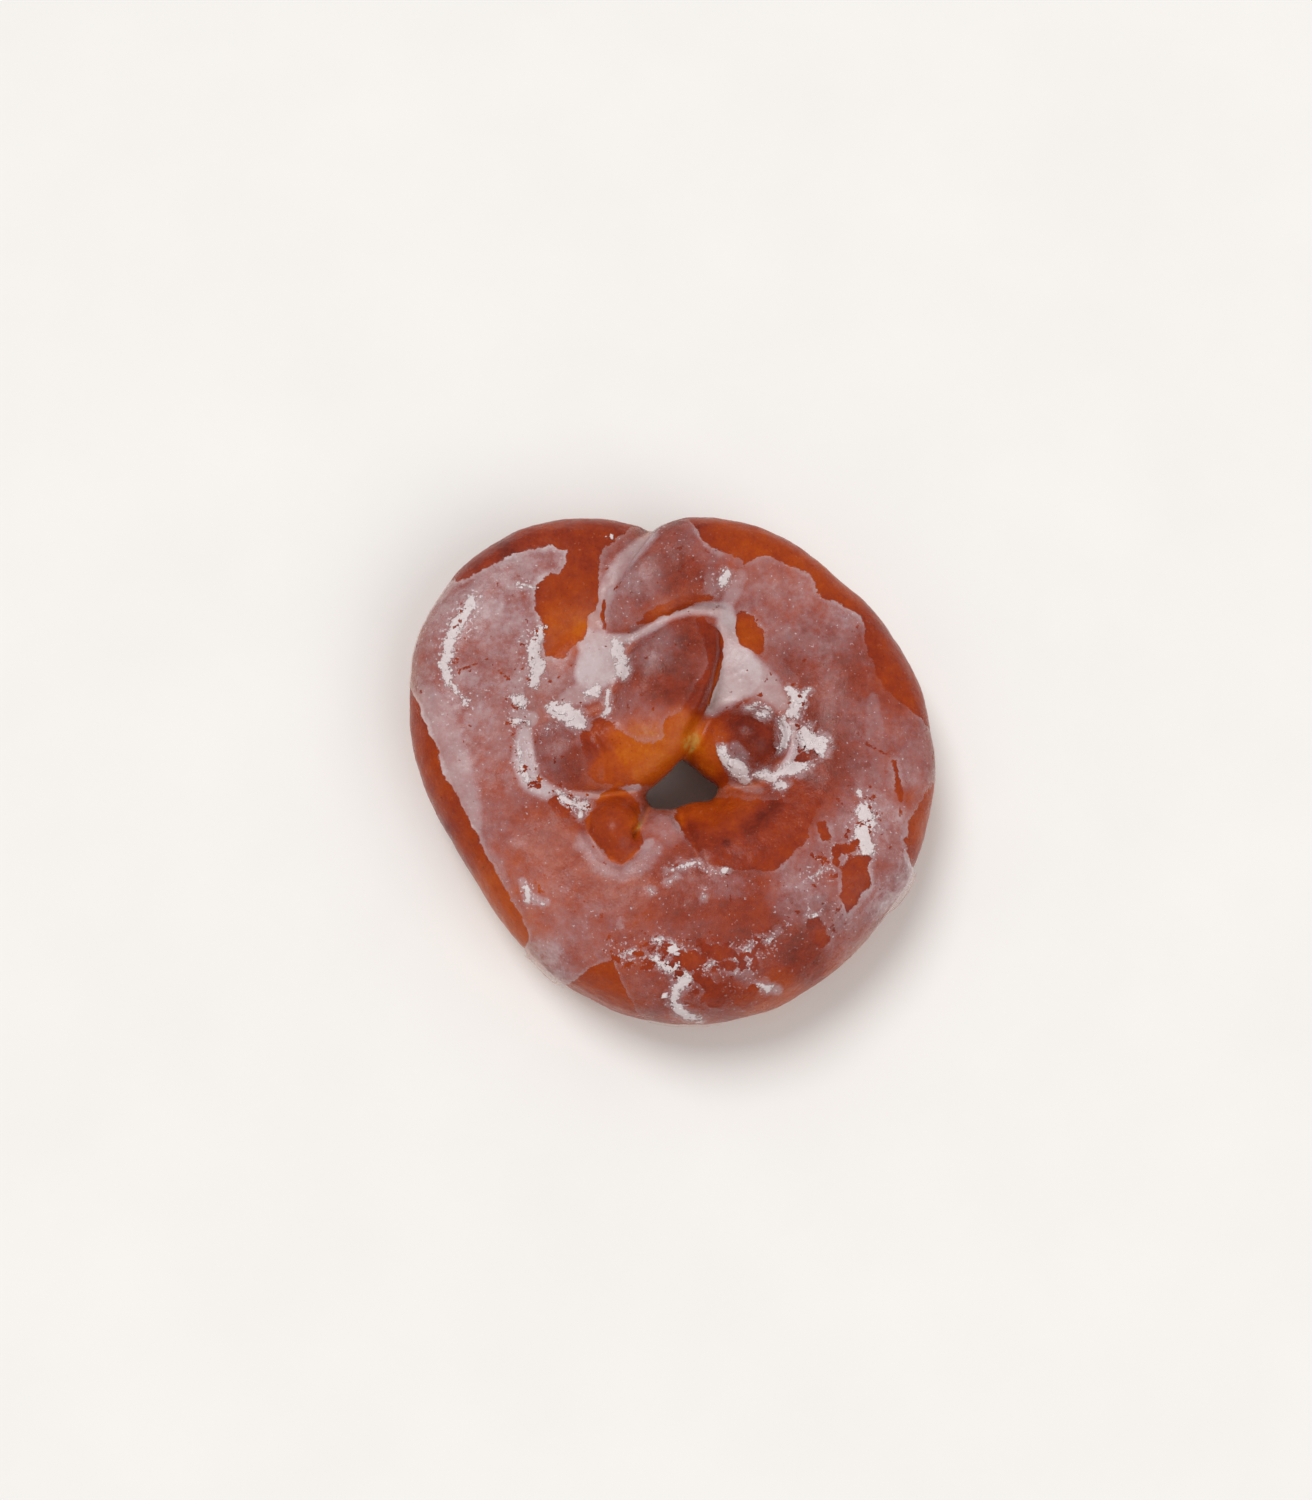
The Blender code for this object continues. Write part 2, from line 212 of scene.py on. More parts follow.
# Where it dried white and crumbly: how much of it is there, 1 as drawn, less or more as it shrank or spread,
# and a run of (x, y, half width) in mm.
DRY_PLACES = {
    "left_streak": (0.85, (
        (-58.9, 49, 1), (-60.8, 44.4, 2.2), (-64.1, 40.4, 1.8), (-65.8, 34.3, 1.9), (-66.9, 29.4, 1.6),
        (-65.2, 23.9, 1.6), (-63.3, 21.2, 0.8))),
    "left_streak_end": (0.7, ((-46, 53, 0.8), (-40.6, 52.4, 1.1))),
    "left_bits": (0.8, ((-62.2, 20, 1), (-60.5, 18, 1.5))),
    "left_bit": (0.6, ((-57.4, 20.4, 0.7), (-55, 20.5, 0.7))),
    "shoulder_border": (0.8, (
        (-37.6, 41.4, 0.9), (-39.5, 38.7, 1.9), (-41.2, 35.1, 2), (-40.9, 31.6, 1.8), (-39.9, 28.2, 2.7),
        (-41, 23.7, 1.9))),
    "chip_flake": (1, ((-46.8, 19.2, 1.1), (-44.4, 18, 1.6))),
    "left_pool_right": (0.8, ((-17, 35.6, 1.8), (-15.5, 31, 2.4), (-14.8, 27, 2.2))),
    "left_pool_rag": (0.9, ((-13.8, 36.6, 0.7), (-10.4, 38, 0.5))),
    "left_pool_flake": (1, ((-25, 21, 1.2), (-22.6, 22.2, 1.6))),
    "strand_crack": (1, ((-19.4, 21, 1), (-19, 16, 0.9), (-20.2, 14, 0.5))),
    "right_star": (1, ((34.3, 22.5, 1.1), (36.5, 19.1, 2.2), (34.9, 15.1, 1.6))),
    "right_star_arm": (0.9, ((37, 19.6, 1.2), (39.7, 22.3, 0.6))),
    "right_patch": (1.3, ((38.3, 10.4, 1.1), (39.7, 6.2, 1.9), (42.2, 6.2, 2.6))),
    "right_patch_foot": (1, ((36.2, -0.3, 2), (38.6, 0.4, 1.2))),
    "knob_ring_left": (1, ((13.8, 4.5, 1.2), (14.8, 2, 1.7), (18.7, -0.4, 2.6), (20.6, -3.1, 1.9))),
    "knob_ring_front": (1, (
        (24, -2.3, 0.8), (26.4, -2.5, 1.3), (28.9, -3.7, 1.4), (31.3, -2.2, 1.4), (36.2, -0.3, 1.6))),
    "knob_ring_foot": (1, ((30.4, -5.8, 1.3), (31.4, -5.4, 1.2))),
    "knob_ring_right": (1, ((31.5, 13.5, 1.2), (32.8, 10.1, 1.5), (31.9, 7.1, 1), (30.2, 4.6, 0.6))),
    "knob_ring_back": (0.8, ((21, 16.9, 0.5), (24.2, 17.9, 0.9), (26.6, 17.7, 0.8), (28.3, 15.9, 0.5))),
    "knob_blob": (1, ((24.7, 15, 1), (26.9, 15.5, 1.1))),
    "left_knob_flake": (1.5, ((-34.7, 15.8, 1.5), (-31.3, 15.1, 2.1), (-27.9, 12.5, 1.8))),
    "left_knob_rag": (0.6, ((-38.5, 9, 0.5), (-36, 10.8, 0.6), (-33.5, 10.4, 0.5))),
    "left_knob_pool_rag": (0.3, ((-45.2, 7, 1), (-44.2, 0, 2), (-42.6, -5, 1.6), (-38, -7.6, 0.8))),
    "left_knob_cloud_rag": (0.7, ((-47, 12.6, 1), (-43, 12, 1.4))),
    "left_knob_crumble": (0.9, (
        (-33.4, -8.8, 1.1), (-30.1, -11.5, 1.6), (-25.8, -12.5, 1.5), (-27.2, -15.2, 1.1))),
    "belly_border": (0.8, (
        (-1.7, -30.7, 0.6), (2.6, -29.3, 0.7), (6.2, -28.6, 0.6), (9.3, -30.6, 0.5), (11.7, -31.6, 0.6),
        (15.1, -30.4, 0.6))),
    "belly_blob": (0.6, ((-1.7, -34, 0.8), (0.2, -32.6, 0.8))),
    "belly_scratch": (0.6, ((8.3, -35.9, 0.4), (8.6, -39, 0.5))),
    "belly_spot": (0.6, ((-7.2, -36.4, 0.6), (-6.4, -36.9, 0.6))),
    "belly_left_spot": (0.6, ((-15.8, -45.6, 0.7), (-15.5, -46.9, 0.5))),
    "right_limb_rag": (1.4, ((55.5, -12.8, 1.4), (55.9, -16.7, 1.9), (54.1, -19.7, 1.2), (56.2, -24, 1.5))),
    "right_limb_spot": (0.6, ((53.6, -7.4, 0.8), (54.2, -8.6, 0.8))),
    "tear_bits": (0.6, ((40.6, -32.3, 0.7), (43.1, -29.4, 0.5), (44.5, -30.4, 0.7))),
    "front_right_bit": (0.7, ((38.6, -42.6, 0.8), (40.4, -43.6, 1))),
    "front_left_rag": (0.7, ((-42.6, -36, 0.8), (-41, -39.6, 1.1), (-37.5, -40.4, 0.8))),
    "front_bit": (0.8, ((-4.9, -51, 1.2), (-3.9, -51.2, 1))),
    "front_streak_a": (1, ((-1.4, -52.6, 1.1), (0.6, -53.9, 1))),
    "front_streak_b": (0.9, ((-5.3, -56.4, 1.2), (-2.7, -57.8, 1.6), (0.6, -58.2, 1.3))),
    "front_streak_c": (0.8, (
        (1.3, -60.6, 1.5), (3.4, -61.6, 1.7), (0.8, -64.1, 1.8), (-0.5, -67.2, 1.5), (1.1, -70.5, 1.5),
        (4.4, -72.3, 1.1), (8.6, -73, 0.5))),
    "front_scratch_a": (0.75, ((-15, -54.8, 0.2), (-11, -54.2, 0.4), (-7.5, -54.4, 0.2))),
    "front_scratch_b": (0.75, ((3.6, -59, 0.2), (8, -58.6, 0.4), (12.6, -57.2, 0.3))),
    "front_scratch_c": (0.75, ((17, -56.2, 0.3), (20.6, -53.8, 0.4), (23.6, -50.6, 0.3))),
    "front_scratch_d": (0.75, ((26.8, -50.4, 0.2), (29.6, -48.2, 0.4))),
    "front_streak_d": (0.8, ((23.6, -63.4, 0.8), (26.6, -64, 1))),
    "back_flake_a": (0.8, ((-19.6, 68.6, 1), (-17.6, 67.8, 0.8))),
    "back_flake_b": (0.9, ((15.4, 57.6, 1.2), (14.7, 54, 1))),
    "notch_flake": (0.7, ((-5.6, 70.6, 0.6), (-3.6, 72.6, 0.7))),
}

# Cracks in the glaze, where the crust shows: runs of (x, y, half width) in mm.
CRACKS = {
    "left_limb": (
        (-62.4, 27.4, 0.1), (-59, 28.7, 0.2), (-54.2, 30.9, 0.1), (-52.2, 28, 0.1), (-49.3, 25.6, 0.2),
        (-46.4, 22.6, 0.1)),
    "right_limb": ((53.4, 10.1, 0.1), (56.8, 6.3, 0.2), (63.1, 3, 0.1)),
    "right_front": ((47.4, -9.6, 0.1), (53, -15, 0.1)),
    "belly_front": ((15, -34, 0.1), (16.4, -40, 0.1)),
    "left_front": ((-10, -47.5, 0.1), (-5, -51.5, 0.2), (2, -53, 0.1)),
}

# Where the glaze was rubbed and chipped: how much, 1 being strongly, how softly it fades in mm, and a run of
# (x, y, half width) in mm.
SCUFFED_PLACES = {
    "front_band": (1.3, 5, ((-16, -54, 1.5), (-4, -55, 2.5), (8, -56, 4), (20, -56, 3), (27, -53, 1.5))),
    "front_low": (0.8, 4, ((4, -64, 2), (14, -66, 3), (22, -65, 1.5))),
    "belly_left": (0.5, 5, ((-30, -36, 2), (-40, -37, 2))),
    "knob_foot": (0.9, 3, ((-34, -8, 2), (-27, -13, 2))),
    "left_knob_side": (0.7, 4, ((-46, 16, 2), (-44, 4, 2), (-40, -5, 2))),
    "right_limb": (0.9, 4, ((56, -12, 2), (53, -22, 3), (46, -28, 3), (40, -32, 2))),
    "star": (0.8, 3, ((36, 22, 2), (38, 12, 3), (40, 4, 3))),
    "back_arm": (0.5, 4, ((0, 64, 3), (8, 56, 3))),
    "left_streak": (0.5, 4, ((-60, 47, 2), (-66, 32, 2))),
    "shoulder": (0.6, 3, ((-42, 40, 2), (-43, 26, 2))),
    "front_right": (0.5, 5, ((34, -46, 3), (46, -44, 3))),
}

# Glaze thick enough to bulge: its extra thickness in mm, how softly it falls off in mm, and a run of
# (x, y, half width) in mm.
THICK_PLACES = {
    "front_left_drip": (1.3, 2.4, ((-43.5, -53, 0.6), (-40, -58, 1.4), (-34, -61, 1.6), (-30, -61.6, 1))),
    "right_drip": (1.4, 3, ((63.5, -28, 1), (67.5, -33, 2.2), (65, -41, 1.6))),
    "front_run": (0.5, 2, ((-6, -74, 1), (4, -75, 1.4), (12, -74, 0.8))),
    "knob_ring_left": (0.9, 0.9, ((13.6, 4.4, 0.8), (15.3, 1.2, 1.3), (18, -1.6, 2.2), (20.6, -3.8, 1.4))),
    "knob_ring_front": (0.7, 0.8, ((22, -3.2, 0.7), (26, -3, 0.7), (29.6, -3.6, 1.2), (32.8, -2, 1))),
    "left_knob_flake": (0.6, 0.6, (
        (-36, 16.2, 0.8), (-32.5, 15.2, 1.5), (-29.3, 13.6, 1.2), (-27.2, 11.4, 0.7))),
    "right_patch": (0.4, 0.8, ((34, 10, 0.9), (38, 7, 2), (42, 5.2, 1.6))),
    "left_border": (0.35, 2.5, ((-73, 17, 0.8), (-69.5, 2, 1.2), (-64.5, -14, 1.4), (-57, -24, 1))),
}

# How brown the dough baked, 0 pale to 1 darkest: round places of (x, y, reach in mm, brownness). A small
# stain has more than 1, so that it outweighs the wide places around it.
BAKE_PLACES = (
    (-27, 67, 8, 0.74), (-30, 53, 6, 0.62), (-31, 42, 5, 0.3), (-36, 34, 4, 0.42), (-60, 62, 12, 0.8),
    (-50, 30, 9, 0.7), (-60, 0, 10, 0.62), (-74, -2, 5, 0.62), (-52, -40, 6, 0.36), (-60, -25, 5, 0.62),
    (-42, -50, 5, 0.36), (-24, -66, 8, 0.55), (-30, -25, 7, 0.68), (-40, -38, 8, 0.46), (0, 60, 10, 0.84),
    (5, 52, 4, 0.72), (-12, 42, 3, 0.7), (-3, 47.5, 3, 0.4), (6, 50, 3, 0.46), (-25, 4, 3, 0.8),
    (22, 68, 8, 0.56), (45, 57, 10, 0.56), (48, 35, 10, 0.8), (70, 30, 9, 0.66), (66, 5, 8, 0.72),
    (74, -12, 6, 0.5), (45, 5, 8, 0.86), (0, 30, 7, 0.9), (21.6, -18.2, 2.8, 1.2), (25.4, -14.8, 2.4, 1.24),
    (28.6, -12, 2.6, 1.04), (15, -22.8, 0.9, 1.7), (5.5, -19.5, 2.8, 1.1), (-66, -21, 3, 0.84),
    (-50, 64, 3, 1.0), (12, 36, 3, 0.86), (10.5, 27, 3, 0.74), (2, 12, 3, 0.3), (-8, 4, 6, 0.18),
    (-16, 7, 3, 0.32), (-20, -3, 4, 0.42), (-22, 8, 3, 0.6), (-32, 4, 6, 0.84), (5, 8, 3, 0.05),
    (9, 1, 3, 0.26), (12, 8, 3, 0.44), (22, 9, 5, 0.95), (22, 39, 3, 0.42), (-17, -16, 5, 0.58),
    (-15, -24, 4, 0.68), (-11, -17, 1.8, 0.14), (-3, -17, 5, 0.58), (8, -14, 5, 0.44), (20, -14, 6, 0.5),
    (15, -24, 8, 0.78), (32, -18, 8, 0.7), (51, -35, 4, 0.66), (5, -40, 10, 0.76), (10, -58, 10, 0.8),
    (4.5, -56.4, 2.2, 0.46), (12.4, -54.6, 1.8, 0.46), (9.8, -64.6, 3, 0.66), (20.6, -66.8, 2.4, 0.66),
    (41.4, -48.4, 2.6, 0.6), (40, -50, 8, 0.88), (50, -56, 6, 0.42), (30, -70, 6, 0.44), (5, -76, 5, 0.56),
    (-15, -45, 10, 0.66),
)

# Folds and creases pressed into the dough: depth and half width in mm, and a run of (x, y). One with a depth
# below nought is a raised ridge.
FOLDS = {
    "back_notch": (1.6, 1.5, ((-7, 71), (-13, 63), (-18, 54))),
    "arm_front": (1.2, 1.2, ((-12, 38.5), (-5, 42.5), (4, 46), (14, 46.5))),
    "strand_right": (0.6, 1.4, ((14.4, 41), (14.6, 32), (12.3, 23), (7.4, 14.5), (4.5, 9))),
    "strand_side": (-1.2, 1.8, ((11.4, 40), (11, 32), (8.6, 24), (5.6, 17))),
    "neck_fold": (0.5, 0.7, ((-22, 10.9), (-17.2, 4.4), (-14.8, -0.9))),
    "knob_fold": (0.6, 0.8, ((-24.8, 9.9), (-21.4, 5), (-20, -0.4), (-20, -3.8))),
    "belly_fold": (1.1, 1.1, ((2, -15), (4.6, -21), (6.6, -26.5), (8.6, -30.5))),
    "curl_left": (0.9, 1, ((-25, -14), (-25, -20), (-21, -26.5), (-15, -29), (-10.5, -25))),
    "curl_right": (1.5, 0.9, ((-7.6, -13), (-9.4, -17.5), (-10.6, -21))),
    "ridge_right": (0.6, 1, ((0, -15), (1.6, -19.5), (2.4, -24))),
    "left_knob_foot": (0.8, 1, ((-40, -4), (-33, -8), (-22, -9), (-12, -8))),
    "right_knob_foot": (0.6, 1, ((16, -6.5), (22, -6.5), (30, -5), (34, 0))),
    "left_limb_crack": (0.3, 0.5, ((-50, 31), (-48, 28), (-50, 25))),
    "right_limb_crack": (0.35, 0.5, ((51, 13), (54, 8), (56, 7), (62, 4))),
}

# Small pits and bubbles in the dough or the glaze: (x, y, radius, depth) in mm.
PITS = (
    (-9, 12.6, 0.9, 0.5), (-10.4, -19.2, 1.3, 1.6), (-22.4, -19.6, 0.5, 0.3), (-21, -67, 0.5, 0.3),
    (17.8, 27.4, 0.9, 0.5), (20.2, 28.6, 0.7, 0.5), (19.2, 25.8, 0.6, 0.4), (-25, 24.6, 0.7, 0.4),
    (-24.8, 26.4, 0.5, 0.3), (-17.4, 29.2, 0.9, 0.4), (-48, 10, 0.7, 0.3), (15, -26, 0.5, 0.3),
    (10, -27.5, 0.6, 0.3), (21, -26.5, 0.5, 0.25),
)

# The glaze's numbers that are painted on its points.
GLAZE_FIELDS = ("inside", "dry", "milk", "veil", "cracks", "scuff")

# The dough's surface: points this close are one, its wrinkles and dimples are this wide, and its folds show
# where the skin is slackened by this many rounds of smoothing. The pressed folds fade out between these
# slopes, as the surface turns upright.
WELD_MM = 0.005
WRINKLE_MM = 1.6
DIMPLE_MM = 6.0
DIMPLE_HEIGHT_MM = 0.5
SMOOTHING_FACTOR = 0.5
SLACK_ROUNDS = 90
UPRIGHT_SLOPES = (0.0, 0.35)

# The outline is read in this many directions. A point that the camera doesn't see counts as under its edge
# where it lies this near it, and else as nowhere near the glaze.
OUTLINE_STEPS = 720
HIDDEN_BAND_MM = 26.0
JUST_OUTSIDE_MM = 0.01
NOWHERE_NEAR_MM = -30.0

# A run has its full strength from this far inside its edge. A dried place of share 0 loses this much.
RUN_EDGE_MM = 0.3
DRY_MARGIN_MM = 1.6

# How brown the dough and how dense the veil is away from every spot of its map, and how much that weighs.
BAKE_ELSEWHERE = 0.7
VEIL_ELSEWHERE = 0.11
ELSEWHERE_WEIGHT = 0.05

# The dough is this much paler in its folds, growing between these depths, and low on its sides, growing
# between these heights.
PALER_IN_FOLDS = 0.30
FOLD_DEPTHS_MM = (0.1, 1.2)
PALER_LOW = 0.30
PALE_HEIGHTS_MM = (16.0, 5.0)

# The glaze is this milky in hollows, growing between these depths, and banks up between these distances
# from its outer edge.
MILK_IN_HOLLOWS = 0.25
HOLLOW_DEPTHS_MM = (0.3, 1.2)
RIM_BANK_MM = (7.0, 0.5)

# How much thicker than the thinnest film the glaze is where it is dense, milky or dry, and the spans in
# which it grows thicker there, in a drip and in a pool.
VEIL_MM = 0.20
MILK_MM = 0.15
DRY_MM = 0.30
DRY_RISE_MM = (-0.3, 0.8)
THICK_EDGE_MM = 0.5
DEEPEST_POOL_MM = 1.6
POOL_RISE_MM = (0.0, 2.0)

# The film is cut off this far past its edge. Before that it dives this deep under the crust, between these
# distances from the cut, and it soaks this far into the dough.
CUT_MARGIN_MM = -4.0
EDGE_DIVE_MM = 0.2
EDGE_RISE_MM = (0.6, 1.6)
SOAK_MM = 0.45
# The thickest that its wall can be, and the steps in which it gets thinner.
THICKEST_MM = 3.5
WEIGHT_STEPS = 100

# The small flakes: their half widths, the height of the highest, and how uneven and how far tilted they are.
FLAKE_WIDTHS_MM = (0.22, 0.6)
HIGHEST_FLAKE_MM = 0.40
FLAKE_SIDES = (4, 5, 6, 7)
FLAKE_UNEVENNESS = 0.25
FLAKE_TILT = 0.3
FLAKE_STRETCH = (0.5, 1.0)
# They lie where the glaze is at least this dry and its surface at least this level.
DRY_ENOUGH_MM = -0.3
LEVEL_ENOUGH = 0.4
# A point of the glaze that isn't on its upper side counts as this much further from a large flake's place.
UPPER_SIDE = 0.3
UNDERSIDE_COUNTS_MM = 2.0

# The larger flakes that show: (x, y, half width) in mm.
LARGE_FLAKES = (
    (-3.3, -66.6, 1.5), (-24.5, 21, 1.2), (-22.4, 22.2, 1.3), (-32, 15.4, 1.5), (-29.4, 13.2, 1.2),
    (-34.6, 16, 1.1), (-46.4, 18.2, 1.2), (-44.8, 17.4, 0.9), (16.8, 0.6, 1.5), (19.8, -3.6, 1.4),
    (28.6, -3, 1.2), (37, 6.6, 1.4), (41.6, 5, 1.3), (14, 56, 1.1), (-18.4, 68.2, 1.1),
    (0.2, -54.2, 1), (-30, -11, 1.1), (-26.8, -12.6, 1), (26.4, 15.2, 1.1), (35.6, 17.6, 1.1),
)

# The stage in metres: its floor, and for each soft light its place, its spread in degrees and its strength.
FLOOR_SIZE = 4.0
FLOOR_DROP = 0.0002
LIGHTS = {
    "softbox": ((-0.36, 0.46, 0.90), 26.0, 1.60),
    "reflector": ((0.55, -0.45, 0.75), 45.0, 0.86),
}
SKY_COLOUR = "f6f1ec"
SKY_STRENGTH = 0.47


# In the materials a Map Range's inputs 0 to 4 are the value, the span it comes from and the span it goes to,
# a Math node's 0 to 2 are its values, and a Mix node's 0, 6 and 7 are the share and its two colours.
SMOOTH = {"interpolation_type": "SMOOTHSTEP"}
PLUS = {"operation": "ADD"}
TIMES = {"operation": "MULTIPLY"}
TIMES_PLUS = {"operation": "MULTIPLY_ADD"}
GREATER = {"operation": "MAXIMUM"}
COLOURS = {"data_type": "RGBA"}


def linear(hex_colour):
    """An sRGB hex colour as linear red, green, blue and alpha."""
    channels = [int(hex_colour[place:place + 2], 16) / 255.0 for place in (0, 2, 4)]
    return tuple(c / 12.92 if c <= 0.04045 else ((c + 0.055) / 1.055) ** 2.4 for c in channels) + (1.0,)


def fill_inputs(tree, owner, inputs):
    """Links or sets a node's inputs, which are given by name or number."""
    for key, value in inputs.items():
        if isinstance(value, bpy.types.NodeSocket):
            tree.links.new(value, owner.inputs[key])
        else:
            owner.inputs[key].default_value = value


def node(tree, kind, inputs, output=0, **settings):
    """Adds a node of a kind with its inputs and settings, and gives one of its outputs."""
    made = tree.nodes.new("ShaderNode" + kind)
    for name, value in settings.items():
        setattr(made, name, value)
    fill_inputs(tree, made, inputs)
    return made.outputs[output]


def new_material(name):
    """A material with one Principled shader, and its node tree."""
    material = bpy.data.materials.new(name)
    material.use_nodes = True
    return material, material.node_tree, material.node_tree.nodes["Principled BSDF"]


def set_stops(colour, *stops):
    """Sets the (place, colour) stops of the ramp behind this colour: sRGB hex, or linear with its alpha."""
    elements = colour.node.color_ramp.elements
    for place, _ in stops[1:-1]:
        elements.new(place)
    for element, (place, shade) in zip(elements, stops):
        element.position = place
        element.color = linear(shade) if isinstance(shade, str) else shade


def grain(tree, size_mm, detail=4.0, roughness=0.55, shift=0.0):
    """Uneven speckle on the piece itself, about this many mm across, centred on nought."""
    place = node(tree, "TexCoord", {}, "Object")
    if shift:
        place = node(tree, "Mapping", {"Vector": place, "Location": (shift, shift, shift)})
    pattern = {"Vector": place, "Scale": 1.0 / (size_mm * MM), "Detail": detail, "Roughness": roughness}
    return node(tree, "Math", {0: node(tree, "TexNoise", pattern), 1: -0.5}, **PLUS)


def crust_material(settings):
    """Egg-washed brioche crust, oven-browned: satin red-brown on the crowns, orange in the folds."""
    material, tree, shader = new_material("egg_washed_brioche_crust")
    bake = node(tree, "Attribute", {}, "Fac", attribute_name="bake")
    mottle = grain(tree, 5.0, detail=5.0, roughness=0.6)
    bake = node(tree, "Math", {0: mottle, 1: 0.55, 2: bake}, **TIMES_PLUS)
    fine = grain(tree, 1.2, detail=6.0, roughness=0.7)
    bake = node(tree, "Math", {0: fine, 1: 0.45, 2: bake}, **TIMES_PLUS)
    colour = node(tree, "ValToRGB", {0: bake})
    set_stops(colour, (0.0, settings.fold_colour), (0.14, "bd600e"), (0.34, settings.golden_colour),
              (0.55, "9e3d12"), (0.75, "8a3018"), (1.0, settings.crown_colour))
    scorched = node(tree, "MapRange", {0: grain(tree, 1.0, detail=2.0), 1: 0.18, 2: 0.24, 4: 0.5}, **SMOOTH)
    colour = node(tree, "Mix", {0: scorched, 6: colour, 7: linear("4a1a10")}, 2, **COLOURS)
    specks = grain(tree, 0.8, detail=1.0, shift=7.0)
    dusted = node(tree, "MapRange", {0: specks, 1: 0.22, 2: 0.26, 4: 0.30}, **SMOOTH)
    colour = node(tree, "Mix", {0: dusted, 6: colour, 7: linear("c08a72")}, 2, **COLOURS)
    satin = node(tree, "MapRange", {0: grain(tree, 3.0), 1: -0.15, 2: 0.20, 3: 0.26, 4: 0.38}, **SMOOTH)
    skin = node(tree, "Math", {0: grain(tree, 0.8, detail=5.0), 1: 0.7, 2: grain(tree, 2.6)}, **TIMES_PLUS)
    normal = node(tree, "Bump", {"Strength": 0.5, "Distance": 0.30 * MM, "Height": skin})
    fill_inputs(tree, shader, {"Base Color": colour, "Roughness": satin, "Normal": normal, "IOR": 1.26})
    return material


